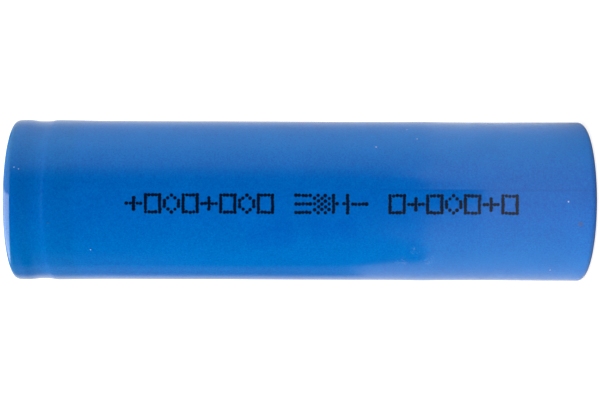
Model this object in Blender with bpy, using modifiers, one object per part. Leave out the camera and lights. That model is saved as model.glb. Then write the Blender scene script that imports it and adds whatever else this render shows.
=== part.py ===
"""Cylindrical lithium iron phosphate cell, standing upright on its negative base.

The axis is Z and the origin is the middle of the base. The crimped positive end is
at the top. Every size is in metres, written as millimetres times MM.
"""

import math

import bmesh
import bpy
from mathutils import Matrix

MM = 0.001

# Overall sizes
CELL_HEIGHT = 65.20 * MM  # base of the can to the top of the cap
CAN_RADIUS = 8.98 * MM  # outside of the plain wall
CAN_WALL = 0.25 * MM
SEAT_GAP = 0.03 * MM  # between pieces that touch on the real cell
ROUND_STEPS = 32  # flats round every turned piece
CORNER_STEPS = 4  # flats round the large corners of a profile
FILLET_STEPS = 3
SMALL_FILLET_STEPS = 2
BEAD_STEPS = 8
SAG_STEPS = 8
DRILL_STEPS = 12
CUTTER_MARGIN = 1.00 * MM  # cutters stand this far out of what they cut

# Rim of the can: crimped shoulder, rolled bead and the flare below it
CAP_PROUD = 0.65 * MM  # cap top above the crimped rim
CRIMP_LIP = 2.45 * MM  # reach of the crimped lip, in from the wall
SHOULDER_RADIUS = 0.80 * MM
CRIMP_SWELL = 0.105 * MM  # crimped wall beyond the plain wall
BEAD_DEPTH = 1.03 * MM
BEAD_RADIUS = 0.60 * MM
BEAD_FILLET = 0.40 * MM
FLARE_SWELL = 0.11 * MM
FLARE_STRAIGHT = 0.36 * MM
FLARE_LENGTH = 3.20 * MM

# Base of the can
BASE_CORNER = 0.30 * MM
PAD_STEP = 0.20 * MM  # height of the coined contact pad
PAD_MARGIN = 0.40 * MM  # from the pad's foot to the sleeve's lip

# Printed sleeve and the washer under its top lip
SLEEVE_WALL = 0.09 * MM
SLEEVE_SAG = 0.12 * MM  # how far the sleeve sinks over the bead
SLEEVE_TOP_FLAT = 0.70 * MM  # lip past the rounded shoulder
SLEEVE_BASE_FLAT = 1.08 * MM  # lip past the rounded base corner
WASHER_THICKNESS = 0.20 * MM
WASHER_SHOW = 0.35 * MM  # washer in past the crimped lip

# Header stack, held in the gasket
GASKET_WALL = 0.45 * MM
GASKET_TOP_LEDGE = 0.22 * MM
GASKET_BASE_LEDGE = 0.25 * MM
GASKET_SHOW = 0.45 * MM  # gasket in past the crimped lip
GASKET_BASE_REACH = 1.50 * MM
CAP_SHEET = 0.35 * MM
CAP_MOAT = 1.25 * MM  # from the gasket in to the foot of the cap's wall
CAP_CORNER = 0.45 * MM
CAP_WALL_LEAN = 0.25 * MM
CAP_FOOT_FILLET = 0.20 * MM
PTC_THICKNESS = 0.25 * MM
PTC_WIDTH = 2.90 * MM
VENT_SHEET = 0.25 * MM
VENT_SLOPE = 0.70 * MM  # run of the dished wall
VENT_RING_WIDTH = 1.05 * MM
VENT_RING_THICKNESS = 0.33 * MM
VENT_RING_SHOW = 0.30 * MM  # ring's bore out from the dished wall
WELD_PLATE_INSET = 0.27 * MM
WELD_PLATE_THICKNESS = 0.30 * MM

# Openings
WINDOW_COUNT = 4
WINDOW_WIDTH = 2.00 * MM
WINDOW_HEIGHT = 0.55 * MM
WINDOW_SILL = 0.06 * MM  # above the cap's flange
GAS_HOLE_RADIUS = 0.80 * MM
GAS_HOLE_COUNT = 6
GAS_HOLE_INSET = 2.40 * MM  # from the weld plate's edge to the holes' middles

# Insulator discs
INSULATOR_THICKNESS = 0.30 * MM
INSULATOR_BORE = 1.60 * MM
INSULATOR_CLEARANCE = 0.30 * MM
HEADROOM = 1.10 * MM  # bead to upper insulator
LOWER_INSULATOR_THICKNESS = 0.20 * MM
LOWER_INSULATOR_BORE = 2.20 * MM
LEAD_SLOT = 0.90 * MM  # along the lead's thickness
LEAD_SLOT_SIDE = 0.30 * MM  # past each edge of the lead

# Rolled electrodes. One turn here stands for about three real turns.
SEPARATOR_THICKNESS = 0.06 * MM
POSITIVE_THICKNESS = 0.26 * MM
NEGATIVE_THICKNESS = 0.36 * MM
ROLL_BORE_GAP = 0.10 * MM
SEPARATOR_OVERHANG = 0.50 * MM  # separator past the negative electrode, each end
NEGATIVE_OVERHANG = 0.50 * MM  # negative past the positive electrode, each end
STEPS_PER_TURN = 16
ELECTRODE_LEAD_IN = 8  # steps of separator alone at the middle
ELECTRODE_LEAD_OUT = 4  # steps of separator alone at the outside
ROLL_TAPE_THICKNESS = 0.06 * MM
ROLL_TAPE_WIDTH = 30.0 * MM

# Centre pin, a rolled tube with an open seam
PIN_RADIUS = 1.50 * MM
PIN_WALL = 0.30 * MM
PIN_SEAM = 12.0  # degrees each side of the seam
PIN_STEPS = 16
PIN_END_GAP = 0.70 * MM

# Leads and their tapes
POSITIVE_LEAD_WIDTH = 4.00 * MM
POSITIVE_LEAD_THICKNESS = 0.12 * MM
POSITIVE_LEAD_REACH = 5.00 * MM
POSITIVE_FOLD_REACH = 3.00 * MM
POSITIVE_LEAD_RISE = 0.85 * MM  # lower run above the upper insulator
NEGATIVE_LEAD_WIDTH = 4.00 * MM
NEGATIVE_LEAD_THICKNESS = 0.10 * MM
NEGATIVE_LEAD_INSET = 1.70 * MM  # in from the edge of the pad
NEGATIVE_WELD_REACH = 2.20 * MM
LEAD_BEND = 0.30 * MM
BEND_STEPS = 4
TAPE_THICKNESS = 0.05 * MM
POSITIVE_TAPE_LENGTH = 2.00 * MM
NEGATIVE_TAPE_INSET = 0.28 * MM  # bare lead at each end of its tape

# Heights, worked down from the top of the cap
RIM_TOP = CELL_HEIGHT - CAP_PROUD
GASKET_TOP = RIM_TOP - CAN_WALL - SEAT_GAP
FLANGE_TOP = GASKET_TOP - GASKET_TOP_LEDGE - SEAT_GAP
PTC_TOP = FLANGE_TOP - CAP_SHEET - SEAT_GAP
VENT_TOP = PTC_TOP - PTC_THICKNESS - SEAT_GAP
GASKET_LEDGE_TOP = VENT_TOP - VENT_SHEET - SEAT_GAP
GASKET_BASE = GASKET_LEDGE_TOP - GASKET_BASE_LEDGE
BEAD_Z = GASKET_BASE - SEAT_GAP - CAN_WALL - BEAD_RADIUS
VENT_RING_BASE = GASKET_LEDGE_TOP - VENT_RING_THICKNESS
WELD_PLATE_TOP = VENT_RING_BASE - SEAT_GAP
WELD_PLATE_BASE = WELD_PLATE_TOP - WELD_PLATE_THICKNESS
WASHER_BASE = RIM_TOP + SEAT_GAP
WASHER_TOP = WASHER_BASE + WASHER_THICKNESS
SLEEVE_TOP = WASHER_TOP + SEAT_GAP + SLEEVE_WALL

# Radii, worked in from the can
CAN_BORE = CAN_RADIUS - CAN_WALL
CRIMP_RADIUS = CAN_RADIUS + CRIMP_SWELL
FLARE_RADIUS = CAN_RADIUS + FLARE_SWELL
SLEEVE_OFFSET = SEAT_GAP + SLEEVE_WALL
GASKET_RADIUS = CRIMP_RADIUS - CAN_WALL - SEAT_GAP
HEADER_RADIUS = GASKET_RADIUS - GASKET_WALL - SEAT_GAP
SLEEVE_SHOULDER = SHOULDER_RADIUS + WASHER_THICKNESS + SLEEVE_WALL
SLEEVE_SHOULDER_R = CRIMP_RADIUS + SLEEVE_OFFSET - SLEEVE_SHOULDER
SLEEVE_BASE_LIP = CAN_RADIUS - BASE_CORNER - SLEEVE_BASE_FLAT
WASHER_RADIUS = SLEEVE_SHOULDER_R
LIP_RADIUS = CRIMP_RADIUS - CRIMP_LIP
GASKET_TOP_BORE = LIP_RADIUS - GASKET_SHOW
GASKET_BASE_BORE = GASKET_RADIUS - GASKET_BASE_REACH
GASKET_CORNER = BEAD_FILLET - CAN_WALL - SEAT_GAP
CAP_FOOT = GASKET_TOP_BORE - CAP_MOAT
CAP_PLATEAU = CAP_FOOT - CAP_FOOT_FILLET - CAP_WALL_LEAN
VENT_RING_RADIUS = GASKET_BASE_BORE - SEAT_GAP
VENT_RING_BORE = VENT_RING_RADIUS - VENT_RING_WIDTH
VENT_DISH = VENT_RING_BORE - VENT_RING_SHOW - VENT_SLOPE
WELD_PLATE_RADIUS = VENT_RING_RADIUS - WELD_PLATE_INSET
GAS_HOLE_RING = WELD_PLATE_RADIUS - GAS_HOLE_INSET
PAD_RADIUS = SLEEVE_BASE_LIP - PAD_MARGIN - PAD_STEP
NEGATIVE_LEAD_REACH = PAD_RADIUS - NEGATIVE_LEAD_INSET

# The bead's arcs are tangent: each fillet's centre is one fillet and one bead radius away
BEAD_R = CAN_RADIUS - BEAD_DEPTH + BEAD_RADIUS
BEAD_SPAN = BEAD_FILLET + BEAD_RADIUS
UPPER_FILLET_R = CRIMP_RADIUS - BEAD_FILLET
LOWER_FILLET_R = FLARE_RADIUS - BEAD_FILLET
UPPER_LEAN = math.degrees(math.asin((UPPER_FILLET_R - BEAD_R) / BEAD_SPAN))
LOWER_LEAN = math.degrees(math.asin((LOWER_FILLET_R - BEAD_R) / BEAD_SPAN))
UPPER_FILLET_Z = BEAD_Z + BEAD_SPAN * math.cos(math.radians(UPPER_LEAN))
LOWER_FILLET_Z = BEAD_Z - BEAD_SPAN * math.cos(math.radians(LOWER_LEAN))
FLARE_TOP = LOWER_FILLET_Z - FLARE_STRAIGHT
FLARE_FOOT = FLARE_TOP - FLARE_LENGTH

# Heights inside the can
UPPER_INSULATOR_TOP = LOWER_FILLET_Z - HEADROOM
UPPER_INSULATOR_BASE = UPPER_INSULATOR_TOP - INSULATOR_THICKNESS
ROLL_TOP = UPPER_INSULATOR_BASE - SEAT_GAP
PAD_INSIDE = CAN_WALL
WELD_Z = PAD_INSIDE + SEAT_GAP + NEGATIVE_LEAD_THICKNESS / 2
TAPED_LEAD_Z = PAD_INSIDE + 2 * SEAT_GAP + TAPE_THICKNESS + NEGATIVE_LEAD_THICKNESS / 2
LOWER_TAPE_TOP = TAPED_LEAD_Z + NEGATIVE_LEAD_THICKNESS / 2 + SEAT_GAP + TAPE_THICKNESS
LOWER_INSULATOR_BASE = max(LOWER_TAPE_TOP, PAD_STEP + CAN_WALL) + SEAT_GAP
LOWER_INSULATOR_TOP = LOWER_INSULATOR_BASE + LOWER_INSULATOR_THICKNESS
ROLL_BASE = LOWER_INSULATOR_TOP + SEAT_GAP

# Roll, worked out from the room between the pin and the can
ROLL_TAPE_RADIUS = CAN_BORE - SEAT_GAP
ROLL_TAPE_BORE = ROLL_TAPE_RADIUS - ROLL_TAPE_THICKNESS
ROLL_RADIUS = ROLL_TAPE_BORE * math.cos(math.pi / ROUND_STEPS) - SEAT_GAP
ROLL_BORE = PIN_RADIUS + ROLL_BORE_GAP
ROLL_PITCH = (
    NEGATIVE_THICKNESS + POSITIVE_THICKNESS + 2 * SEPARATOR_THICKNESS + 4 * SEAT_GAP
)
ROLL_STEPS = math.floor(
    ((ROLL_RADIUS - ROLL_BORE) / ROLL_PITCH - 1) * STEPS_PER_TURN
)


def clear_scene():
    for obj in list(bpy.data.objects):
        bpy.data.objects.remove(obj)


def new_collection(name):
    collection = bpy.data.collections.new(name)
    bpy.context.scene.collection.children.link(collection)
    return collection


def new_material(name, colour, roughness, metallic=0.0):
    material = bpy.data.materials.new(name)
    material.use_nodes = True
    shader = material.node_tree.nodes["Principled BSDF"]
    shader.inputs["Base Color"].default_value = (*colour, 1.0)
    shader.inputs["Roughness"].default_value = roughness
    shader.inputs["Metallic"].default_value = metallic
    return material


def add_part(name, data, material):
    data.materials.append(material)
    part = bpy.data.objects.new(name, data)
    PARTS.objects.link(part)
    return part


def arc(centre, radius, start, end, steps):
    """Points of an arc, with angles in degrees from +r towards +z."""
    points = []
    for i in range(steps + 1):
        angle = math.radians(start + (end - start) * i / steps)
        points.append(
            (centre[0] + radius * math.cos(angle), centre[1] + radius * math.sin(angle))
        )
    return points


def joined(*runs):
    """One run of points, without the doubles where two runs meet."""
    points = []
    for run in runs:
        for point in run:
            if not points or math.dist(points[-1], point) > 0.001 * MM:
                points.append(point)
    return points


def turn(name, profile, material, closed=False, wall=None):
    """Turns an (r, z) profile about Z. An open profile takes a wall on its inner side."""
    mesh = bpy.data.meshes.new(name)
    edges = [(i, i + 1) for i in range(len(profile) - 1)]
    if closed:
        edges.append((len(profile) - 1, 0))
    mesh.from_pydata([(r, 0, z) for r, z in profile], edges, [])
    part = add_part(name, mesh, material)
    screw = part.modifiers.new("Turn", "SCREW")
    screw.steps = ROUND_STEPS
    screw.render_steps = ROUND_STEPS
    screw.use_merge_vertices = True
    screw.merge_threshold = 0.001 * MM
    screw.use_smooth_shade = True
    if wall:
        add_wall(part, wall, -1)
    return part


def turn_ring(name, bore, radius, base, top, material):
    outline = [(bore, top), (radius, top), (radius, base), (bore, base)]
    return turn(name, outline, material, closed=True)


def add_wall(part, thickness, side):
    solidify = part.modifiers.new("Wall", "SOLIDIFY")
    solidify.thickness = thickness
    solidify.offset = side
    solidify.use_even_offset = True


def ribbon(name, path, width, thickness, material):
    """A strip standing on a plane path: its width along local Z, its thickness centred."""
    curve = bpy.data.curves.new(name, "CURVE")
    curve.dimensions = "2D"
    curve.fill_mode = "NONE"
    curve.extrude = width / 2
    spline = curve.splines.new("POLY")
    spline.points.add(len(path) - 1)
    for point, (x, y) in zip(spline.points, path):
        point.co = (x, y, 0, 1)
    part = add_part(name, curve, material)
    add_wall(part, thickness, 0)
    return part


def stand(part, base, top):
    part.location.z = (base + top) / 2


def cut(part, cutter):
    boolean = part.modifiers.new("Cut " + cutter.name, "BOOLEAN")
    boolean.operation = "DIFFERENCE"
    boolean.object = cutter


def new_cutter(name, shape):
    mesh = bpy.data.meshes.new(name)
    shape.to_mesh(mesh)
    shape.free()
    cutter = bpy.data.objects.new(name, mesh)
    CUTTERS.objects.link(cutter)
    cutter.hide_render = True
    cutter.display_type = "WIRE"
    return cutter


def hole_cutter(name, angles, ring, radius, base, top):
    """Round drills standing on a ring, one at each angle in degrees."""
    shape = bmesh.new()
    for angle in angles:
        turned = Matrix.Rotation(math.radians(angle), 4, "Z")
        moved = Matrix.Translation((ring, 0, (base + top) / 2))
        bmesh.ops.create_cone(
            shape,
            cap_ends=True,
            segments=DRILL_STEPS,
            radius1=radius,
            radius2=radius,
            depth=top - base + 2 * CUTTER_MARGIN,
            matrix=turned @ moved,
        )
    return new_cutter(name, shape)


def slot_cutter(name, angles, ring, size):
    """Boxes standing on a ring, one at each angle in degrees: size is r, width, (z, z)."""
    depth, width, (base, top) = size
    shape = bmesh.new()
    for angle in angles:
        turned = Matrix.Rotation(math.radians(angle), 4, "Z")
        moved = Matrix.Translation((ring, 0, (base + top) / 2))
        scaled = Matrix.Diagonal((depth, width, top - base, 1))
        bmesh.ops.create_cube(shape, size=1, matrix=turned @ moved @ scaled)
    return new_cutter(name, shape)


def bead_profile():
    """From the crimped wall down to the flare: fillet, rolled bead, fillet."""
    return joined(
        arc((UPPER_FILLET_R, UPPER_FILLET_Z), BEAD_FILLET, 0, -90 - UPPER_LEAN, FILLET_STEPS),
        arc((BEAD_R, BEAD_Z), BEAD_RADIUS, 90 - UPPER_LEAN, 270 + LOWER_LEAN, BEAD_STEPS),
        arc((LOWER_FILLET_R, LOWER_FILLET_Z), BEAD_FILLET, 90 + LOWER_LEAN, 0, FILLET_STEPS),
    )


def base_corner(offset):
    """The rounded foot of the can, or of a skin that far outside it."""
    centre = (CAN_RADIUS - BASE_CORNER, PAD_STEP + BASE_CORNER)
    return arc(centre, BASE_CORNER + offset, 0, -90, FILLET_STEPS)


def make_can():
    steel = new_material("nickel_plated_steel", (0.62, 0.60, 0.56), 0.28, 1.0)
    shoulder = (CRIMP_RADIUS - SHOULDER_RADIUS, RIM_TOP - SHOULDER_RADIUS)
    profile = joined(
        [(LIP_RADIUS, RIM_TOP)],
        arc(shoulder, SHOULDER_RADIUS, 90, 0, CORNER_STEPS),
        bead_profile(),
        [(FLARE_RADIUS, FLARE_TOP), (CAN_RADIUS, FLARE_FOOT)],
        base_corner(0),
        [(PAD_RADIUS + PAD_STEP, PAD_STEP), (PAD_RADIUS, 0), (0, 0)],
    )
    turn("cell_can", profile, steel, wall=CAN_WALL)


def make_sleeve():
    film = new_material("blue_shrink_film", (0.0, 0.10, 0.46), 0.24)
    centre = (SLEEVE_SHOULDER_R, SLEEVE_TOP - SLEEVE_SHOULDER)
    top_lip = SLEEVE_SHOULDER_R - SLEEVE_TOP_FLAT
    upper = CRIMP_RADIUS + SLEEVE_OFFSET
    lower = FLARE_RADIUS + SLEEVE_OFFSET
    sag = []
    for i in range(SAG_STEPS + 1):
        share = i / SAG_STEPS
        dip = SLEEVE_SAG * (1 - math.cos(2 * math.pi * share)) / 2
        z = UPPER_FILLET_Z + (LOWER_FILLET_Z - UPPER_FILLET_Z) * share
        sag.append((upper + (lower - upper) * share - dip, z))
    profile = joined(
        [(top_lip, SLEEVE_TOP)],
        arc(centre, SLEEVE_SHOULDER, 90, 0, CORNER_STEPS),
        sag,
        [(lower, FLARE_TOP), (CAN_RADIUS + SLEEVE_OFFSET, FLARE_FOOT)],
        base_corner(SLEEVE_OFFSET),
        [(SLEEVE_BASE_LIP, PAD_STEP - SLEEVE_OFFSET)],
    )
    turn("heat_shrink_sleeve", profile, film, wall=SLEEVE_WALL)


def make_washer():
    paper = new_material("washer_paper", (0.80, 0.79, 0.74), 0.8)
    bore = LIP_RADIUS - WASHER_SHOW
    turn_ring("terminal_washer", bore, WASHER_RADIUS, WASHER_BASE, WASHER_TOP, paper)


def make_gasket():
    nylon = new_material("gasket_polymer", (0.75, 0.74, 0.70), 0.5)
    shoulder = (CRIMP_RADIUS - SHOULDER_RADIUS, RIM_TOP - SHOULDER_RADIUS)
    outside = SHOULDER_RADIUS - CAN_WALL - SEAT_GAP
    corner = (GASKET_RADIUS - GASKET_CORNER, GASKET_BASE + GASKET_CORNER)
    bore = GASKET_RADIUS - GASKET_WALL
    outline = joined(
        [(GASKET_TOP_BORE, GASKET_TOP)],
        arc(shoulder, outside, 90, 0, CORNER_STEPS),
        arc(corner, GASKET_CORNER, 0, -90, SMALL_FILLET_STEPS),
        [(GASKET_BASE_BORE, GASKET_BASE), (GASKET_BASE_BORE, GASKET_LEDGE_TOP)],
        [(bore, GASKET_LEDGE_TOP), (bore, GASKET_TOP - GASKET_TOP_LEDGE)],
        [(GASKET_TOP_BORE, GASKET_TOP - GASKET_TOP_LEDGE)],
    )
    turn("sealing_gasket", outline, nylon, closed=True)


def make_cap():
    steel = new_material("cap_steel", (0.68, 0.66, 0.62), 0.22, 1.0)
    corner = (CAP_PLATEAU - CAP_CORNER, CELL_HEIGHT - CAP_CORNER)
    foot = (CAP_FOOT, FLANGE_TOP + CAP_FOOT_FILLET)
    profile = joined(
        [(0, CELL_HEIGHT)],
        arc(corner, CAP_CORNER, 90, 0, FILLET_STEPS),
        arc(foot, CAP_FOOT_FILLET, 180, 270, SMALL_FILLET_STEPS),
        [(HEADER_RADIUS, FLANGE_TOP)],
    )
    cap = turn("positive_cap", profile, steel, wall=CAP_SHEET)
    sill = FLANGE_TOP + WINDOW_SILL
    angles = [45 + 360 * i / WINDOW_COUNT for i in range(WINDOW_COUNT)]
    size = (4 * CAP_SHEET, WINDOW_WIDTH, (sill, sill + WINDOW_HEIGHT))
    cut(cap, slot_cutter("vent_windows", angles, CAP_PLATEAU, size))


def make_header_discs():
    aluminium = new_material("header_aluminium", (0.80, 0.81, 0.82), 0.35, 1.0)
    carbon = new_material("ptc_composite", (0.06, 0.06, 0.06), 0.6)
    polymer = new_material("vent_ring_polymer", (0.75, 0.74, 0.70), 0.5)
    ptc_base = PTC_TOP - PTC_THICKNESS
    bore = HEADER_RADIUS - PTC_WIDTH
    turn_ring("ptc_ring", bore, HEADER_RADIUS, ptc_base, PTC_TOP, carbon)
    dish_top = WELD_PLATE_TOP + SEAT_GAP + VENT_SHEET
    dish = [(0, dish_top), (VENT_DISH, dish_top), (VENT_DISH + VENT_SLOPE, VENT_TOP)]
    dish.append((HEADER_RADIUS, VENT_TOP))
    turn("vent_disc", dish, aluminium, wall=VENT_SHEET)
    span = (VENT_RING_BASE, GASKET_LEDGE_TOP)
    turn_ring("vent_insulator", VENT_RING_BORE, VENT_RING_RADIUS, *span, polymer)
    plate = turn(
        "weld_plate", [(0, WELD_PLATE_TOP), (WELD_PLATE_RADIUS, WELD_PLATE_TOP)],
        aluminium, wall=WELD_PLATE_THICKNESS,
    )
    angles = [30 + 360 * i / GAS_HOLE_COUNT for i in range(GAS_HOLE_COUNT)]
    span = (WELD_PLATE_BASE, WELD_PLATE_TOP)
    cut(plate, hole_cutter("plate_holes", angles, GAS_HOLE_RING, GAS_HOLE_RADIUS, *span))


def lead_slot(lead_width, base, top):
    """Size of the cutter for a lead's slot through a board."""
    width = lead_width + 2 * LEAD_SLOT_SIDE
    return (LEAD_SLOT, width, (base - CUTTER_MARGIN, top + CUTTER_MARGIN))


def make_insulators():
    board = new_material("insulator_board", (0.55, 0.47, 0.30), 0.7)
    radius = CAN_BORE - INSULATOR_CLEARANCE
    upper = turn_ring(
        "upper_insulator", INSULATOR_BORE, radius, UPPER_INSULATOR_BASE, UPPER_INSULATOR_TOP, board
    )
    span = (UPPER_INSULATOR_BASE, UPPER_INSULATOR_TOP)
    angles = [0, 60, 120, 240, 300]
    cut(upper, hole_cutter("board_holes", angles, GAS_HOLE_RING, GAS_HOLE_RADIUS, *span))
    size = lead_slot(POSITIVE_LEAD_WIDTH, *span)
    cut(upper, slot_cutter("positive_lead_slot", [180], POSITIVE_LEAD_REACH, size))
    span = (LOWER_INSULATOR_BASE, LOWER_INSULATOR_TOP)
    lower = turn_ring("lower_insulator", LOWER_INSULATOR_BORE, radius, *span, board)
    size = lead_slot(NEGATIVE_LEAD_WIDTH, *span)
    cut(lower, slot_cutter("negative_lead_slot", [0], NEGATIVE_LEAD_REACH, size))


def spiral(inner, first, last):
    """A path that moves out by one pitch a turn, with its corners on shared angles."""
    path = []
    for i in range(first, last + 1):
        angle = 2 * math.pi * i / STEPS_PER_TURN
        radius = inner + ROLL_PITCH * i / STEPS_PER_TURN
        path.append((radius * math.cos(angle), radius * math.sin(angle)))
    return path


def make_roll():
    """Negative, separator, positive, separator: four sheets wound as one."""
    film = new_material("separator_film", (0.86, 0.86, 0.84), 0.45)
    cathode = new_material("positive_coating", (0.05, 0.05, 0.055), 0.75)
    anode = new_material("negative_coating", (0.03, 0.03, 0.032), 0.65)
    coated = (ELECTRODE_LEAD_IN, ROLL_STEPS - ELECTRODE_LEAD_OUT)
    layers = [
        ("negative_electrode", NEGATIVE_THICKNESS, SEPARATOR_OVERHANG, coated, anode),
        ("separator_inner", SEPARATOR_THICKNESS, 0, (0, ROLL_STEPS), film),
        (
            "positive_electrode", POSITIVE_THICKNESS,
            SEPARATOR_OVERHANG + NEGATIVE_OVERHANG, coated, cathode,
        ),
        ("separator_outer", SEPARATOR_THICKNESS, 0, (0, ROLL_STEPS), film),
    ]
    inner = ROLL_BORE
    for name, thickness, inset, (first, last), material in layers:
        path = spiral(inner + thickness / 2, first, last)
        base = ROLL_BASE + inset
        top = ROLL_TOP - inset
        stand(ribbon(name, path, top - base, thickness, material), base, top)
        inner += thickness + SEAT_GAP
    amber = new_material("roll_tape_film", (0.60, 0.36, 0.05), 0.3)
    middle = (ROLL_BASE + ROLL_TOP) / 2
    turn_ring(
        "roll_tape", ROLL_TAPE_BORE, ROLL_TAPE_RADIUS,
        middle - ROLL_TAPE_WIDTH / 2, middle + ROLL_TAPE_WIDTH / 2, amber,
    )


def make_pin():
    steel = new_material("pin_steel", (0.58, 0.58, 0.58), 0.3, 1.0)
    path = arc((0, 0), PIN_RADIUS - PIN_WALL / 2, PIN_SEAM, 360 - PIN_SEAM, PIN_STEPS)
    base = ROLL_BASE + PIN_END_GAP
    top = ROLL_TOP - PIN_END_GAP
    stand(ribbon("centre_pin", path, top - base, PIN_WALL, steel), base, top)


def lay_flat(strip):
    """Turns a ribbon's path into the XZ plane, with its width along Y."""
    strip.rotation_euler.x = math.pi / 2


def lead_tape(name, ends, z, width, thickness, material):
    """A flat band wrapped round a lead that runs along X, from one end to the other."""
    curve = bpy.data.curves.new(name, "CURVE")
    curve.dimensions = "2D"
    curve.fill_mode = "BOTH"
    curve.extrude = (ends[1] - ends[0]) / 2
    for grow in (SEAT_GAP + TAPE_THICKNESS, SEAT_GAP):
        x = width / 2 + grow
        y = thickness / 2 + grow
        spline = curve.splines.new("POLY")
        spline.points.add(3)
        for point, corner in zip(spline.points, ((-x, -y), (x, -y), (x, y), (-x, y))):
            point.co = (*corner, 0, 1)
        spline.use_cyclic_u = True
    tape = add_part(name, curve, material)
    tape.rotation_euler = (math.pi / 2, 0, math.pi / 2)
    tape.location = ((ends[0] + ends[1]) / 2, 0, z)


def make_leads():
    aluminium = new_material("lead_aluminium", (0.80, 0.81, 0.82), 0.35, 1.0)
    nickel = new_material("lead_nickel", (0.66, 0.62, 0.55), 0.3, 1.0)
    amber = new_material("lead_tape_film", (0.60, 0.36, 0.05), 0.3)
    low = UPPER_INSULATOR_TOP + POSITIVE_LEAD_RISE
    high = WELD_PLATE_BASE - SEAT_GAP - POSITIVE_LEAD_THICKNESS / 2
    fold = (high - low) / 2
    path = joined(
        [(-POSITIVE_LEAD_REACH, ROLL_TOP + SEAT_GAP)],
        arc((LEAD_BEND - POSITIVE_LEAD_REACH, low - LEAD_BEND), LEAD_BEND, 180, 90, BEND_STEPS),
        arc((POSITIVE_FOLD_REACH, low + fold), fold, -90, 90, 2 * BEND_STEPS),
        [(-POSITIVE_FOLD_REACH, high)],
    )
    width = POSITIVE_LEAD_WIDTH
    lay_flat(ribbon("positive_lead", path, width, POSITIVE_LEAD_THICKNESS, aluminium))
    start = LEAD_BEND - POSITIVE_LEAD_REACH
    ends = (start, start + POSITIVE_TAPE_LENGTH)
    lead_tape("positive_lead_tape", ends, low, width, POSITIVE_LEAD_THICKNESS, amber)

    step_end = NEGATIVE_WELD_REACH + 3 * (TAPED_LEAD_Z - WELD_Z)
    bend = (NEGATIVE_LEAD_REACH - LEAD_BEND, TAPED_LEAD_Z + LEAD_BEND)
    path = joined(
        [(-NEGATIVE_WELD_REACH, WELD_Z), (NEGATIVE_WELD_REACH, WELD_Z)],
        [(step_end, TAPED_LEAD_Z)],
        arc(bend, LEAD_BEND, -90, 0, BEND_STEPS),
        [(NEGATIVE_LEAD_REACH, ROLL_BASE - SEAT_GAP)],
    )
    width = NEGATIVE_LEAD_WIDTH
    lay_flat(ribbon("negative_lead", path, width, NEGATIVE_LEAD_THICKNESS, nickel))
    ends = (step_end + NEGATIVE_TAPE_INSET, bend[0] - NEGATIVE_TAPE_INSET)
    lead_tape("negative_lead_tape", ends, TAPED_LEAD_Z, width, NEGATIVE_LEAD_THICKNESS, amber)


clear_scene()
PARTS = new_collection("cylindrical_battery_cell")
CUTTERS = new_collection("cutters")
make_can()
make_sleeve()
make_washer()
make_gasket()
make_cap()
make_header_discs()
make_insulators()
make_roll()
make_pin()
make_leads()
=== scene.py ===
import math

import bpy
import numpy as np
from mathutils import Matrix, Vector


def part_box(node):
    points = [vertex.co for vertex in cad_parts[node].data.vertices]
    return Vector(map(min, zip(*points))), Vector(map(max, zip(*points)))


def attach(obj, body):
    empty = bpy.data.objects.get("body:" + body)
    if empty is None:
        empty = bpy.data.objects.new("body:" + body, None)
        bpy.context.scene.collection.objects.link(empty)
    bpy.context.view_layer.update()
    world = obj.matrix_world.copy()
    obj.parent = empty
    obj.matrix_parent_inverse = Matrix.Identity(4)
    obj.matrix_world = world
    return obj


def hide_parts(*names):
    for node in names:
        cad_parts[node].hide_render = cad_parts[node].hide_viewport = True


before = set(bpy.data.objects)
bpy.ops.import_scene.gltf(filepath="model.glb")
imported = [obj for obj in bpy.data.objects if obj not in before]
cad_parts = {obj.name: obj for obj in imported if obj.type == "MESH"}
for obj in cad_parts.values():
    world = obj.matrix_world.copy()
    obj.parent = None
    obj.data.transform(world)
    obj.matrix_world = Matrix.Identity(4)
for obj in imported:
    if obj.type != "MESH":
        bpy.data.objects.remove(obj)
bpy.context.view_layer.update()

mm = 0.001
rng = np.random.default_rng(18)


# shader wiring

class Wire:
    # one output socket of a node tree. Arithmetic on it adds Math nodes to the tree.
    def __init__(self, finish, socket):
        self.finish = finish
        self.socket = socket

    def math(self, operation, *values):
        return self.finish.node("ShaderNodeMath", {"operation": operation}, dict(enumerate(values)))

    def __add__(self, other):
        return self.math("ADD", self, other)

    def __radd__(self, other):
        return self.math("ADD", other, self)

    def __sub__(self, other):
        return self.math("SUBTRACT", self, other)

    def __rsub__(self, other):
        return self.math("SUBTRACT", other, self)

    def __mul__(self, other):
        return self.math("MULTIPLY", self, other)

    def __rmul__(self, other):
        return self.math("MULTIPLY", other, self)

    def __truediv__(self, other):
        return self.math("DIVIDE", self, other)

    def __rtruediv__(self, other):
        return self.math("DIVIDE", other, self)

    def __neg__(self):
        return self.math("MULTIPLY", self, -1.0)

    def atan2(self, other):
        return self.math("ARCTAN2", self, other)

    def root(self):
        return self.math("SQRT", self)

    def lower(self, other):
        return self.math("MINIMUM", self, other)

    # 0 below low, 1 above high and smooth between; low may be the larger one
    def rise(self, low, high):
        smooth = {"interpolation_type": "SMOOTHSTEP"}
        if low <= high:
            return self.finish.node("ShaderNodeMapRange", smooth, {0: self, 1: low, 2: high, 3: 0.0, 4: 1.0})
        return self.finish.node("ShaderNodeMapRange", smooth, {0: self, 1: high, 2: low, 3: 1.0, 4: 0.0})


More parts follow.
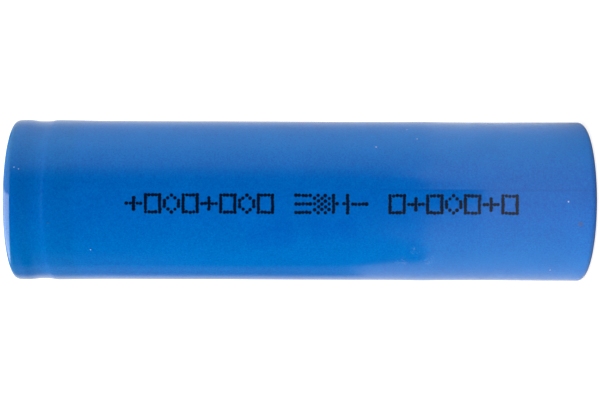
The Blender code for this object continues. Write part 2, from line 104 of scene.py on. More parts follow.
class Finish:
    # a node tree, and the one way that nodes are added to it
    def __init__(self, tree):
        self.tree = tree
        tree.nodes.clear()

    def node(self, kind, settings, inputs, output=0):
        made = self.tree.nodes.new(kind)
        for key, value in settings.items():
            if key == "stops":
                ramp = made.color_ramp
                while len(ramp.elements) < len(value):
                    ramp.elements.new(0.5)
                for element, (place, colour) in zip(ramp.elements, value):
                    element.position = place
                    element.color = (*colour, 1.0)
            else:
                setattr(made, key, value)
        for key, value in inputs.items():
            if isinstance(value, Wire):
                self.tree.links.new(value.socket, made.inputs[key])
            else:
                made.inputs[key].default_value = value
        return Wire(self, made.outputs[output]) if made.outputs else None

    def place(self):
        # object coordinates, which are the world's because every piece sits at the origin
        return self.node("ShaderNodeTexCoord", {}, {}, "Object")

    def axes(self, vector):
        parts = self.node("ShaderNodeSeparateXYZ", {}, {0: vector})
        outputs = parts.socket.node.outputs
        return [Wire(self, outputs[i]) for i in range(3)]

    def vector(self, x, y, z):
        return self.node("ShaderNodeCombineXYZ", {}, {0: x, 1: y, 2: z})

    def noise(self, where, scale, detail=2.0, roughness=0.5, distortion=0.0):
        inputs = {"Vector": where, "Scale": scale, "Detail": detail}
        inputs.update({"Roughness": roughness, "Distortion": distortion})
        return self.node("ShaderNodeTexNoise", {}, inputs)

    def mix(self, share, low, high):
        return self.node("ShaderNodeMix", {"data_type": "RGBA"}, {0: share, 6: low, 7: high}, 2)

    def times(self, first, second):
        settings = {"data_type": "RGBA", "blend_type": "MULTIPLY"}
        return self.node("ShaderNodeMix", settings, {0: 1.0, 6: first, 7: second}, 2)

    def bump(self, height, depth, normal=None):
        inputs = {"Height": height, "Strength": 1.0, "Distance": depth}
        if normal is not None:
            inputs["Normal"] = normal
        return self.node("ShaderNodeBump", {}, inputs)

    def surface(self, **inputs):
        names = {key.replace("_", " "): value for key, value in inputs.items()}
        shader = self.node("ShaderNodeBsdfPrincipled", {}, names)
        self.node("ShaderNodeOutputMaterial", {}, {"Surface": shader})


def newFinish(name):
    material = bpy.data.materials.new(name)
    material.use_nodes = True
    return material, Finish(material.node_tree)


def rgb(red, green, blue):
    return (red, green, blue, 1.0)


# surfaces worked out on grids

def makePiece(name, points, faces, material, sharpAngle=35.0):
    mesh = bpy.data.meshes.new(name)
    mesh.from_pydata(points.tolist(), [], faces)
    mesh.update()
    mesh.shade_smooth()
    mesh.set_sharp_from_angle(angle=math.radians(sharpAngle))
    mesh.materials.append(material)
    piece = bpy.data.objects.new(name, mesh)
    bpy.context.scene.collection.objects.link(piece)
    return piece


def gridFaces(rows, columns, closeRows):
    # quads between neighbouring rows and columns; columns always close, rows close when asked
    lastRow = rows if closeRows else rows - 1
    i, j = np.meshgrid(np.arange(lastRow), np.arange(columns), indexing="ij")
    i, j = i.ravel(), j.ravel()
    down, across = (i + 1) % rows, (j + 1) % columns
    quads = (i * columns + j, down * columns + j, down * columns + across, i * columns + across)
    return np.stack(quads, axis=1)


def fanFaces(ring, pole, columns, flip):
    # triangles from one row of the grid to a single point
    j = np.arange(columns)
    pair = (ring + j, ring + (j + 1) % columns)
    order = pair[::-1] if flip else pair
    return np.stack((*order, np.full(columns, pole)), axis=1)


def outward(points, faces):
    # six times the signed volume of the surface; a negative one means the faces point in
    volume = 0.0
    for group in faces:
        first = points[group[:, 0]]
        for k in range(1, group.shape[1] - 1):
            second, third = points[group[:, k]], points[group[:, k + 1]]
            volume += np.einsum("ij,ij->i", first, np.cross(second, third)).sum()
    return faces if volume > 0 else [group[:, ::-1] for group in faces]


def turnGrid(name, grid, material, poles=None, sharpAngle=35.0):
    # grid[row, column] holds x, y, z. Rows run along the section, columns run round the axis.
    # With no poles the section closes on itself; with poles its two ends close on the axis.
    rows, columns = grid.shape[:2]
    points = grid.reshape(-1, 3)
    faces = [gridFaces(rows, columns, poles is None)]
    if poles is not None:
        points = np.vstack((points, [[0, 0, poles[0]], [0, 0, poles[1]]]))
        count = rows * columns
        faces.append(fanFaces(0, count, columns, False))
        faces.append(fanFaces(count - columns, count + 1, columns, True))
    faces = [face for group in outward(points, faces) for face in group.tolist()]
    return makePiece(name, points * mm, faces, material, sharpAngle)


def sweep(section, angles):
    # a section of (r, z) turned to each angle
    r, z = section[:, 0][:, None], section[:, 1][:, None]
    return np.stack((r * np.cos(angles), r * np.sin(angles), z + 0 * angles), axis=2)


def around(columns):
    return np.linspace(0, 2 * np.pi, columns, endpoint=False)


def arcRun(r, z, radius, start, end, steps):
    # points of an arc about (r, z), angles in degrees from +r towards +z
    angle = np.radians(np.linspace(start, end, steps + 1))
    return np.stack((r + radius * np.cos(angle), z + radius * np.sin(angle)), axis=1)


def straight(start, end, steps):
    share = np.linspace(0, 1, steps + 1)[:, None]
    return np.array(start) * (1 - share) + np.array(end) * share


def chain(*runs):
    # runs joined end to end, without doubled points
    points = np.vstack([np.atleast_2d(run) for run in runs])
    apart = np.hypot(*np.diff(points, axis=0).T) > 1e-5
    return points[np.concatenate(([True], apart))]


def leftOf(section):
    # unit normals to the left of an (r, z) run, from central differences
    step = np.gradient(section, axis=0)
    step /= np.hypot(step[:, 0], step[:, 1])[:, None]
    return np.stack((-step[:, 1], step[:, 0]), axis=1)


def roundedRing(bore, radius, base, top, edge, steps=3, flat=2):
    # a closed section: a rectangle with rounded edges
    return chain(
        arcRun(radius - edge, top - edge, edge, 90, 0, steps),
        straight((radius, top - edge), (radius, base + edge), flat),
        arcRun(radius - edge, base + edge, edge, 0, -90, steps),
        straight((radius - edge, base), (bore + edge, base), flat),
        arcRun(bore + edge, base + edge, edge, -90, -180, steps),
        straight((bore, base + edge), (bore, top - edge), flat),
        arcRun(bore + edge, top - edge, edge, 180, 90, steps),
        straight((bore + edge, top), (radius - edge, top), flat),
    )[:-1]


def span(node):
    # outer radius, lowest z and highest z of a CAD node, in millimetres
    low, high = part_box(node)
    return high.x / mm, low.z / mm, high.z / mm


def standFor(piece, node):
    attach(piece, "root")
    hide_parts(node)
    return piece


# camera, light and floor

view = {
    "distance": 0.155,  # from the cell's axis
    "height": 0.032475,  # above the base
    "side": 0.00007,
    "lens": 80.55,
    "tilt": 0.22,  # degrees that the axis leans in the picture
}

cameraData = bpy.data.cameras.new("camera")
cameraData.lens = view["lens"]
cameraData.sensor_width = 36.0
cameraData.clip_start = 0.01
camera = bpy.data.objects.new("camera", cameraData)
bpy.context.scene.collection.objects.link(camera)
bpy.context.scene.camera = camera
lean = math.radians(view["tilt"])
right = Vector((math.sin(lean), 0, -math.cos(lean)))
upward = Vector((math.cos(lean), 0, math.sin(lean)))
turned = Matrix((right, upward, Vector((0, -1, 0)))).transposed().to_4x4()
camera.matrix_world = Matrix.Translation((view["side"], -view["distance"], view["height"])) @ turned
bpy.context.scene.view_settings.view_transform = "Standard"
print("camera placed")

studio = {
    "backdrop": 1.3,  # white that the camera sees
    # brightness of the tent by the angle round the axis, from the camera's side (0) towards
    # the top of the picture (90), towards the positive end and towards the base
    "leftTones": [
        (-180, 0.96), (-157, 0.82), (-146, 0.66), (-139, 0.33), (-132, 0.14), (-120, 0.18), (-113, 0.15),
        (-106, 0), (30, 0), (42, 0.11), (53, 0.38), (70, 0.52), (89, 0.70), (125, 0.66), (144, 0.78),
        (180, 0.96),
    ],
    "rightTones": [
        (-180, 1), (-130, 0.85), (-85, 0.85), (-44, 0.68), (0, 0.50), (8, 0.50), (13, 0.38), (18, 0.38),
        (23, 0.64), (50, 0.82), (85, 1.0),
    ],
    # where the one gives way to the other: minus the sine of the elevation, by the same angle
    "edges": [
        (-108, 0.045), (-98, 0.075), (-91, 0.097), (-75, 0.100), (-61, 0.089), (-48, 0.080), (-35, 0.086),
        (-25, 0.092), (-14, 0.098), (-4, 0.127), (10, 0.139), (17, 0.119), (30, 0.101), (38, 0.080),
        (60, 0.100),
    ],
    "edgeWidth": 0.006,
    "edgeSpread": (0.04, 40, 70),  # wider by this much, from one angle to the other
    "lowGlow": 0.10,  # on the positive end's side, between these angles and elevations
    "glowFrom": (-72, -99),
    "glowTo": (-176, -150),
    "glowHigh": (0.05, 0.16),
    "panel": 4.8,  # soft box over the positive end
    "panelSide": (0.13, 0.09),
    "panelBack": (0.60, 0.20),
    "panelHigh": (0.56, 0.61),
    "roof": 0.9,  # beside the soft box
    "roofBack": (0.70, 0.20),
    "roofHigh": (0.50, 0.61),
}


def byAngle(tree, turn, table):
    # a value read off a table of (degrees, value) by a colour ramp
    stops = [((angle + 180) / 360, (value, value, value)) for angle, value in table]
    return tree.node("ShaderNodeValToRGB", {"stops": stops}, {0: (turn + 180) / 360})


def makeTent():
    # white tent round the cell, dark where the camera looks in: a side wall that changes with the
    # angle round the axis, a roof over it and a soft box in the roof
    world = bpy.data.worlds.new("tent")
    bpy.context.scene.world = world
    world.use_nodes = True
    tent = Finish(world.node_tree)
    x, y, z = tent.axes(tent.node("ShaderNodeTexCoord", {}, {}, "Generated"))
    turn = x.atan2(-y) * math.degrees(1)
    spread, spreadFrom, spreadTo = studio["edgeSpread"]
    width = studio["edgeWidth"] + spread * turn.rise(spreadFrom, spreadTo)
    fromEdge = (z + byAngle(tent, turn, studio["edges"])) / width
    side = fromEdge.rise(1, -1)
    glowSide = turn.rise(*studio["glowFrom"]) * turn.rise(*studio["glowTo"])
    glow = studio["lowGlow"] * glowSide * z.rise(*studio["glowHigh"])
    leftWall = glow + byAngle(tent, turn, studio["leftTones"])
    wall = leftWall * (1 - side) + byAngle(tent, turn, studio["rightTones"]) * side
    roof = studio["roof"] * y.rise(*studio["roofBack"])
    panel = x.rise(*studio["panelSide"]) * y.rise(*studio["panelBack"]) * z.rise(*studio["panelHigh"])
    high = z.rise(*studio["roofHigh"])
    strength = (wall * (1 - high) + roof * high) * (1 - panel) + studio["panel"] * panel
    seen = tent.node("ShaderNodeLightPath", {}, {}, "Is Camera Ray")
    strength = seen * studio["backdrop"] + (1 - seen) * strength
    light = tent.node("ShaderNodeBackground", {}, {"Color": rgb(1, 1, 1), "Strength": strength})
    tent.node("ShaderNodeOutputWorld", {}, {"Surface": light})


floorSize = {
    "radius": 0.10,
    "drop": 2e-5,  # below the cell's base
    "columns": 64,
    "tones": (rgb(0.46, 0.46, 0.46), rgb(0.50, 0.50, 0.50)),
    "glow": 1.35,  # what the camera sees of it is partly lit from within, as white as the tent
    "glowShare": 0.65,
}


def makeFloor():
    # a pale disc: z is flat, x and y are a radius times the cosine and sine of an angle
    f = floorSize
    radius = np.array([0.01, 0.5, 1.0])[:, None] * f["radius"]
    angles = around(f["columns"])
    grid = np.stack((radius * np.cos(angles), radius * np.sin(angles), 0 * radius * angles), axis=2)
    points = grid.reshape(-1, 3) - np.array([0, 0, f["drop"]])
    faces = gridFaces(3, f["columns"], False).tolist()
    faces.append(list(range(f["columns"])))
    material, pale = newFinish("floorPaint")
    tone = pale.mix(pale.noise(pale.place(), 40.0), *f["tones"])
    body = pale.node("ShaderNodeBsdfDiffuse", {}, {"Color": tone})
    glow = pale.node("ShaderNodeEmission", {}, {"Color": rgb(1, 1, 1), "Strength": f["glow"]})
    seen = pale.node("ShaderNodeLightPath", {}, {}, "Is Camera Ray")
    shown = pale.node("ShaderNodeMixShader", {}, {0: f["glowShare"] * seen, 1: body, 2: glow})
    pale.node("ShaderNodeOutputMaterial", {}, {"Surface": shown})
    floor = makePiece("floor", points, faces, material)


makeTent()
makeFloor()
print("tent and floor made")


# blue shrink sleeve

sleeveSize = {
    "wall": 0.09,
    "plain": 9.13,  # outside radius of the plain wall
    "crimp": 9.205,  # outside radius round the crimped rim
    "shoulder": 0.58,  # across, and along the axis
    "shoulderRise": 0.98,
    "shoulderForm": (1.65, 3.6),  # in front and at the sides: 2 is an ellipse, less is closer to a chamfer
    "sideLip": 0.07,  # the lip stands higher at the sides
    "beadTop": 63.65,
    "beadLow": 61.95,  # deepest place over the bead
    "beadBase": 60.18,
    "beadLate": 1.88,  # above 1, the film climbs late, close to the lower edge of the bead
    "sag": 0.15,
    "flareTop": 60.6,
    "flareFoot": 54.0,
    "baseCorner": 0.60,
    "baseLip": 7.60,
    "topLip": 7.41,
    "crease": 8.0,  # lay-flat creases, degrees round from the side that faces the camera
    "creaseLift": 0.022,
    "creaseWidth": 0.16,
    # unevenness of the shrunk film: height, waves round the cell, turn per millimetre of z, phase
    "waves": [(0.0035, 3, 0.22, 0.6), (0.003, 5, -0.37, 2.1), (0.002, 9, 0.61, 0), (0.0015, 14, -1.1, 1.3)],
    "slack": [(0.040, 18.6, 1.7), (-0.032, 10.5, 3.6)],  # rings: height, place and width
    "slackFront": 0.05,  # share of them left in front
    "waveEnds": (1.5, 62.0, 3.0),
    "creaseEnds": (0.8, 60.0, 4.0),
    "lipPull": [(0.10, 3, 0, 0.4), (0.05, 7, 0, 2.0), (0.03, 17, 0, 0)],
    "lipRipple": [(0.010, 23, 0, 0), (0.008, 41, 0, 1.0)],
    "lipLift": 0.012,
    "spare": 0.0005,  # the film stays inside the CAD sleeve's radius by this
    "columns": 262,
    "row": 0.80,
    "beadRows": 54,
    "bendRows": 19,
    "lipRows": 8,
}
front = -math.pi / 2  # the side that faces the camera


def fade(share):
    # smooth step from 0 to 1
    share = np.clip(share, 0, 1)
    return share * share * (3 - 2 * share)


def mound(x, middle, width):
    return np.exp(-(((x - middle) / width) ** 2))


def filmRadius(z):
    # outside radius of the sleeve's wall by height: plain, flared below the bead, sunk over it
    s = sleeveSize
    flare = s["plain"] + (max(span("heat_shrink_sleeve")[0], s["crimp"]) - s["plain"]) * fade(
        (z - s["flareFoot"]) / (s["flareTop"] - s["flareFoot"])
    )
    above = fade((z - s["beadLow"]) / (s["beadTop"] - s["beadLow"]))
    below = fade(np.clip((s["beadLow"] - z) / (s["beadLow"] - s["beadBase"]), 0, 1) ** s["beadLate"])
    return flare - s["sag"] * (1 - above - below)


def waveSum(waves, turn, z):
    # sum of height * sin(count * turn + twist * z + phase)
    return sum(height * np.sin(count * turn + twist * z + phase) for height, count, twist, phase in waves)


def between(z, lead, top, tail):
    # 0 to 1 over the lead, and back to 0 over the tail, which ends at the top
    return fade(z / lead) * fade((top - z) / tail)


def filmLift(angle, z):
    # small unevenness of the shrunk film: sums of long waves, slack rings, and the two creases
    s = sleeveSize
    turn = angle - front
    waves = waveSum(s["waves"], turn, z)
    slack = sum(height * mound(z, middle, width) for height, middle, width in s["slack"])
    slack = slack * (s["slackFront"] + (1 - s["slackFront"]) * np.sin(turn) ** 2)
    width = s["creaseWidth"] / s["plain"]
    fromCrease = turn - np.radians(s["crease"])
    away = np.angle(np.exp(2j * fromCrease)) / 2  # the nearer of two opposite creases
    crease = s["creaseLift"] * np.exp(-((away / width) ** 2))
    return (waves + slack) * between(z, *s["waveEnds"]) + crease * between(z, *s["creaseEnds"])


def makeSleeve(material):
    s = sleeveSize
    widest, base, top = span("heat_shrink_sleeve")
    shoulder = (s["crimp"] - s["shoulder"], top - s["shoulderRise"])
    corner = (s["plain"] - s["baseCorner"], base + s["baseCorner"])
    bend = np.linspace(0, np.pi / 2, s["bendRows"])
    quarter = np.stack((np.cos(bend), np.sin(bend)), axis=1)
    reach = np.array((s["shoulder"], s["shoulderRise"]))
    shoulderRun, squareRun = [reach * quarter ** (2 / form) for form in s["shoulderForm"]]
    # close rows over the bead, then wider ones down to the base
    bead = np.linspace(shoulder[1], s["flareTop"] - 0.2, s["beadRows"])
    body = np.arange(s["flareTop"] - 0.5, corner[1], -s["row"])
    heights = np.concatenate((bead, body))
    outer = chain(
        straight((s["topLip"], top), (shoulder[0], top), s["lipRows"]),
        shoulderRun[::-1] + shoulder,
        np.stack((filmRadius(heights), heights), axis=1),
        arcRun(*corner, s["baseCorner"], 0, -90, 10),
        straight((corner[0], base), (s["baseLip"], base), 5),
    )
    normal = leftOf(outer)
    inner = outer - normal * s["wall"]
    # what makes the shoulder squarer at the sides, row by row
    squarer = np.zeros_like(outer)
    squarer[s["lipRows"] : s["lipRows"] + s["bendRows"]] = (squareRun - shoulderRun)[::-1]
    squarer[:, 1] += s["sideLip"] * fade((outer[:, 1] - shoulder[1]) / s["shoulderRise"])
    # columns gather at the creases, so that each ridge has its own few
    crease = front + np.radians(s["crease"])
    near = np.linspace(-2.2, 2.2, 9) * s["creaseWidth"] / s["plain"]
    angles = np.concatenate((around(s["columns"]), crease + near, crease + np.pi + near)) % (2 * np.pi)
    angles = np.sort(angles)
    angles = angles[np.concatenate(([True], np.diff(angles) > 0.0008))]
    lift = filmLift(angles[None, :], outer[:, 1][:, None])
    topShare = fade((shoulder[0] - outer[:, 0]) / (shoulder[0] - s["topLip"])) * (outer[:, 1] > s["beadLow"])
    pull = waveSum(s["lipPull"], angles, 0)
    ripple = waveSum(s["lipRipple"], angles, 0)
    rings = []
    for side in (outer, inner[::-1]):
        flip = side is not outer
        n = normal[::-1] if flip else normal
        share = (topShare[::-1] if flip else topShare)[:, None]
        rise = lift[::-1] if flip else lift
        more = (squarer[::-1] if flip else squarer)[:, :, None] * np.cos(angles) ** 2
        r = side[:, 0][:, None] + n[:, 0][:, None] * rise + share * pull + more[:, 0]
        r = np.minimum(r, widest - s["spare"])
        z = side[:, 1][:, None] + n[:, 1][:, None] * rise + share * (ripple + s["lipLift"]) + more[:, 1]
        rings.append(np.stack((r * np.cos(angles), r * np.sin(angles), z), axis=2))
    piece = turnGrid("shrinkSleeve", np.vstack(rings), material, sharpAngle=50.0)
    return standFor(piece, "heat_shrink_sleeve")


sleeveColour = {
    "film": rgb(0.0, 0.150, 0.605),
    # the up and low film colours are painted light: the film made lighter on the sides turned towards the
    # top and the bottom of the picture
    "filmPaintedLightUp": rgb(0.0, 0.211, 0.700),
    "filmPaintedLightLow": rgb(0.0, 0.180, 0.610),
    # the top end colour makes the film darker and greener from about 57 to 58 mm up
    "darkerTopEnd": rgb(0.0, 0.950, 0.920),  # factors
    "shoulder": rgb(1.0, 0.970, 0.860),
    "deep": rgb(1.0, 0.940, 0.960),
    "grain": (rgb(1.0, 0.42, 0.80), rgb(1.0, 1.58, 1.20)),
    "dust": rgb(0.75, 0.80, 0.88),
    "stain": rgb(0.10, 0.10, 0.16),
    # the crease colour is painted shade: the film darkened along the lay-flat crease low on the cell
    "creasePaintedShade": rgb(1.0, 0.90, 0.93),
    "shaded": rgb(1.0, 0.90, 0.975),
    "dustShare": 0.8,
    "stainShare": 0.45,
    "scuffShare": 0.13,
    "roughness": 0.075,
    "peel": 0.0000035,  # depth of the orange peel in metres
    # angles over which the painted light of the up and low film colours fades in
    "paintedLightUpTurn": (8, 50),  # degrees round from the front
    "paintedLightLowTurn": (-2, -50),
    "darkerTopEndFrom": (0.0568, 0.0580),  # heights in metres
    "shoulderFrom": (0.0638, 0.0644),
    "creasePaintedShadeTo": (0.0260, 0.0200),
}
# marks on the film: degrees round from the front, height and size in millimetres
dustSpecks = [
    (40.6, 24.1, 0.10), (49.0, 19.5, 0.09), (61.1, 20.5, 0.07), (0.0, 3.3, 0.10), (-57.0, 4.5, 0.09),
    (-37.0, 55.5, 0.08), (14.7, 60.1, 0.08), (22.6, 63.7, 0.13), (21.4, 63.2, 0.10), (3.6, 17.1, 0.07),
]
stains = [(-15.5, 1.9, 0.38), (55.6, 0.95, 0.10), (-16.2, 59.9, 0.16)]
scuffs = [(-47.4, 21.3, 1.0), (-45.3, 18.3, 1.0), (-36.6, 19.8, 0.7), (-36.6, 5.3, 0.5)]
shades = [(-26.0, 36.8, 2.2), (-24.5, 34.6, 2.4), (-20.0, 30.0, 1.8), (-20.0, 27.5, 1.8)]


def closeTo(film, where, places):
    # 1 near any of the places and 0 away from them, by the distance to each
    total = 0.0
    for turn, height, size in places:
        angle = front + math.radians(turn)
        radius = sleeveSize["plain"] * mm
        middle = (radius * math.cos(angle), radius * math.sin(angle), height * mm)
        away = film.node("ShaderNodeVectorMath", {"operation": "DISTANCE"}, {0: where, 1: middle}, "Value")
        total = total + away.rise(size * mm, size * mm * 0.4)
    return total


def sleeveFilm():
    material, film = newFinish("blueShrinkFilm")
    where = film.place()
    x, y, z = film.axes(where)
    c = sleeveColour
    # cloudy: slow noise. grain: fine noise at a tenth of a millimetre
    cloudy = film.noise(where, 180.0, 3.0)
    grain = film.noise(where, 5200.0, 2.0, 0.6)
    # painted light: the film's colour is made lighter towards the top and the bottom of the picture, by the
    # angle from the front; clouds, the darker band from the flare up and the painted crease shade multiply
    # it
    turn = x.atan2(-y) * math.degrees(1)
    colour = film.mix(turn.rise(*c["paintedLightUpTurn"]), c["film"], c["filmPaintedLightUp"])
    colour = film.mix(turn.rise(*c["paintedLightLowTurn"]), colour, c["filmPaintedLightLow"])
    colour = film.times(colour, film.mix(cloudy.rise(0.35, 0.65), rgb(1, 1, 1), c["deep"]))
    # darker and greener from about 58 mm up
    colour = film.times(colour, film.mix(z.rise(*c["darkerTopEndFrom"]), rgb(1, 1, 1), c["darkerTopEnd"]))
    colour = film.times(colour, film.mix(z.rise(*c["shoulderFrom"]), rgb(1, 1, 1), c["shoulder"]))
    # painted shade: the film darkened along one lay-flat crease, fading out between 20 and 26 mm up
    fromCrease = turn - (sleeveSize["crease"] - 0.4)
    creasePaintedShade = (fromCrease * fromCrease).rise(1.3, 0.2) * z.rise(*c["creasePaintedShadeTo"])
    colour = film.times(colour, film.mix(creasePaintedShade, rgb(1, 1, 1), c["creasePaintedShade"]))
    colour = film.times(colour, film.mix(closeTo(film, where, shades).lower(1.0), rgb(1, 1, 1), c["shaded"]))
    # scuffs: thin lines where a twisted noise passes its middle value, near a few places
    twisted = film.noise(where, 850.0, 2.0, 0.5, 1.6) - 0.5
    scuffed = (twisted * twisted).rise(0.00035, 0.00005) * closeTo(film, where, scuffs)
    colour = film.mix(scuffed * c["scuffShare"], colour, c["dust"])
    colour = film.mix(closeTo(film, where, stains) * c["stainShare"], colour, c["stain"])
    colour = film.mix(closeTo(film, where, dustSpecks).lower(c["dustShare"]), colour, c["dust"])
    colour = film.times(colour, film.mix(grain, *c["grain"]))
    # orange peel: two soft noises; roughness wanders a little with the slow one
    height = grain * 0.35 + film.noise(where, 1600.0, 2.0) * 0.65
    normal = film.bump(height, c["peel"])
    film.surface(Base_Color=colour, Roughness=c["roughness"] + 0.04 * cloudy, Normal=normal, IOR=1.53)
    return material


sleeve = makeSleeve(sleeveFilm())
print("sleeve made:", len(sleeve.data.polygons), "faces")


# printed line of generic marks

inkSize = {
    "start": 50.55,  # height of the first mark's middle
    "pitch": 2.045,
    "turn": -2.2,  # degrees round from the front
    "across": 0.385,  # dot spacing along the cell
    "up": 0.31,  # dot spacing round the cell
    "dot": 0.205,
    "proud": 0.006,
    "sunk": 0.004,
    "scatter": 0.016,  # how far a dot strays
    "uneven": 0.05,  # share of its size
    "sides": 10,
    "groups": (8, 4, 7),
    "tones": (rgb(0.0003, 0.0045, 0.020), rgb(0.0008, 0.0075, 0.031)),
}


def markShapes():
    # each mark is a rule on a grid of 5 by 7 dots, with x and y counted from its middle
    x, y = np.meshgrid(np.arange(5) - 2, np.arange(7) - 3)
    fartherX, fartherY = np.abs(x), np.abs(y)
    return {
        "plus": ((x == 0) & (fartherY < 3)) | (y == 0),
        "minus": y == 0,
        "box": (fartherX == 2) | (fartherY == 3),
        "bars": y % 3 == 0,
        "checks": (x + y) % 2 == 0,
        "rails": (fartherX == 2) | ((y == 0) & (fartherX == 1)),
        "diamond": (fartherX + fartherY == 3) | (fartherX + fartherY == 2) & (fartherX == 2),
    }, x, y


def makePrint(material):
    s = inkSize
    shapes, gridX, gridY = markShapes()
    order = ["plus", "bars", "box", "checks", "diamond", "rails", "box", "minus"]
    places = []
    slotIndex = 0
    for count in s["groups"]:
        for k in range(count):
            on = shapes[order[(k + slotIndex) % len(order)]]
            along = s["start"] - s["pitch"] * slotIndex - gridX[on] * s["across"]
            places.append(np.stack((along, -gridY[on] * s["up"]), axis=1))
            slotIndex += 1
        slotIndex += 1  # a blank between groups
    dots = np.vstack(places)
    dots = dots + rng.normal(0, s["scatter"], dots.shape)
    size = s["dot"] * (1 + rng.normal(0, s["uneven"], len(dots)))
    # each dot is a short prism whose rim follows the film
    ring = around(s["sides"])
    u = dots[:, 1][:, None] + size[:, None] * np.cos(ring)
    v = dots[:, 0][:, None] + size[:, None] * np.sin(ring)
    angle = front + np.radians(s["turn"]) + u / sleeveSize["plain"]
    radius = filmRadius(v) + filmLift(angle, v)
    shell = [radius - s["sunk"], radius + s["proud"]]
    rings = [np.stack((r * np.cos(angle), r * np.sin(angle), v), axis=2) for r in shell]
    count, sides = u.shape
    points = np.concatenate([ringPoints.reshape(-1, 3) for ringPoints in rings])
    base = (np.arange(count) * sides)[:, None]
    k = np.arange(sides)
    low, high = base + k, base + k + count * sides
    nextLow, nextHigh = base + (k + 1) % sides, base + (k + 1) % sides + count * sides
    walls = np.stack((low, nextLow, nextHigh, high), axis=2).reshape(-1, 4)
    faces = outward(points, [high, low[:, ::-1], walls])
    faces = [face for group in faces for face in group.tolist()]
    piece = makePiece("printMarks", points * mm, faces, material)
    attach(piece, "root")
    return piece


def inkFinish():
    material, ink = newFinish("printInk")
    where = ink.place()
    patchy = ink.noise(where, 2500.0, 2.0)
    colour = ink.mix(patchy, *inkSize["tones"])
    ink.surface(Base_Color=colour, Roughness=0.12 + 0.12 * patchy, IOR=1.5)
    return material


marks = makePrint(inkFinish())
print("print made:", len(marks.data.polygons), "faces")


# steel can

canSize = {
    "wall": 0.25,
    "lip": 6.635,
    "rim": 64.55,
    "shoulder": 0.80,
    "crimp": 9.085,
    "beadMiddle": (8.55, 61.95),
    "bead": 0.60,
    "fillet": 0.40,
    "flare": 9.09,
    "flareTop": 60.6,
    "flareFoot": 57.4,
    "plain": 8.98,
    "corner": 0.30,
    "step": 0.20,
    "pad": 7.0,
    "edge": 0.06,
}


def makeCan(material):
    # outside run: rim, bead between two fillets that touch it, flare, corner, step and pad
    s = canSize
    reach = s["bead"] + s["fillet"]
    beadR, beadZ = s["beadMiddle"]
    upper = math.asin((s["crimp"] - s["fillet"] - beadR) / reach)
    lower = math.asin((s["flare"] - s["fillet"] - beadR) / reach)
    upperZ = beadZ + reach * math.cos(upper)
    lowerZ = beadZ - reach * math.cos(lower)
    upperTurn, lowerTurn = math.degrees(upper), math.degrees(lower)
    outer = chain(
        straight((s["lip"], s["rim"]), (s["crimp"] - s["shoulder"], s["rim"]), 4),
        arcRun(s["crimp"] - s["shoulder"], s["rim"] - s["shoulder"], s["shoulder"], 90, 0, 10),
        arcRun(s["crimp"] - s["fillet"], upperZ, s["fillet"], 0, -90 - upperTurn, 8),
        arcRun(beadR, beadZ, s["bead"], 90 - upperTurn, 270 + lowerTurn, 16),
        arcRun(s["flare"] - s["fillet"], lowerZ, s["fillet"], 90 + lowerTurn, 0, 8),
        straight((s["flare"], s["flareTop"]), (s["plain"], s["flareFoot"]), 4),
        straight((s["plain"], s["flareFoot"]), (s["plain"], s["step"] + s["corner"]), 24),
        arcRun(s["plain"] - s["corner"], s["step"] + s["corner"], s["corner"], 0, -90, 6),
        straight((s["plain"] - s["corner"], s["step"]), (s["pad"] + s["step"] + 0.05, s["step"]), 4),
        arcRun(s["pad"], s["edge"], s["edge"], -40, -90, 3),
        straight((s["pad"] - 0.4, 0), (0.3, 0), 12),
    )
    inner = outer + leftOf(outer) * -s["wall"]
    section = np.vstack((outer, inner[::-1]))
    angles = around(192)
    piece = turnGrid("steelCan", sweep(section, angles), material, poles=(0.0, s["wall"]))
    return standFor(piece, "cell_can")


def steelFinish(name, light, dark, roughness):
    # rolled steel: fine lines round the axis, by noise stretched in height and radius;
    # patches of slow noise change the sheen
    material, steel = newFinish(name)
    where = steel.place()
    x, y, z = steel.axes(where)
    radius = (x * x + y * y).root()
    turn = x.atan2(-y)
    lines = steel.noise(steel.vector(radius * 9000, z * 9000, turn * 1.2), 1.0, 3.0, 0.6)
    patches = steel.noise(where, 350.0, 3.0)
    colour = steel.mix(patches.rise(0.3, 0.7), light, dark)
    steel.surface(
        Base_Color=colour,
        Metallic=1.0,
        Roughness=roughness + 0.12 * lines + 0.10 * patches,
        Normal=steel.bump(lines, 0.000004),
    )
    return material


can = makeCan(steelFinish("canSteel", rgb(0.66, 0.64, 0.60), rgb(0.56, 0.54, 0.50), 0.20))
print("can made:", len(can.data.polygons), "faces")


# washer and gasket

washerSize = {
    "bore": 6.285,
    "radius": 8.115,
    "base": 64.58,
    "top": 64.78,
    "edge": 0.03,
    "wave": 0.006,  # unevenness of the bore
    "tones": (rgb(0.78, 0.77, 0.72), rgb(0.60, 0.58, 0.52)),
}


def makeWasher(material):
    s = washerSize
    section = roundedRing(s["bore"], s["radius"], s["base"], s["top"], s["edge"], 3, 6)
    angles = around(192)
    grid = sweep(section, angles)
    # punched paper: a slightly uneven bore
    ease = fade((s["radius"] - np.hypot(grid[..., 0], grid[..., 1])) / 1.5)
    uneven = 1 + s["wave"] / s["bore"] * np.sin(13 * angles) * ease
    grid[..., :2] *= uneven[..., None]
    return standFor(turnGrid("fibreWasher", grid, material), "terminal_washer")


def paperFinish():
    # fibre board: pale with grey fibres, by noise stretched along two directions
    material, paper = newFinish("washerFibre")
    where = paper.place()
    x, y, z = paper.axes(where)
    along = paper.noise(paper.vector(x * 900, y * 7000, z * 900), 1.0, 3.0)
    across = paper.noise(paper.vector(x * 7000, y * 900, z * 900), 1.0, 3.0)
    fibres = along.rise(0.45, 0.75) + across.rise(0.45, 0.75)
    colour = paper.mix(fibres * 0.5, *washerSize["tones"])
    paper.surface(Base_Color=colour, Roughness=0.78 + 0.1 * along, Normal=paper.bump(fibres, 0.000012))
    return material


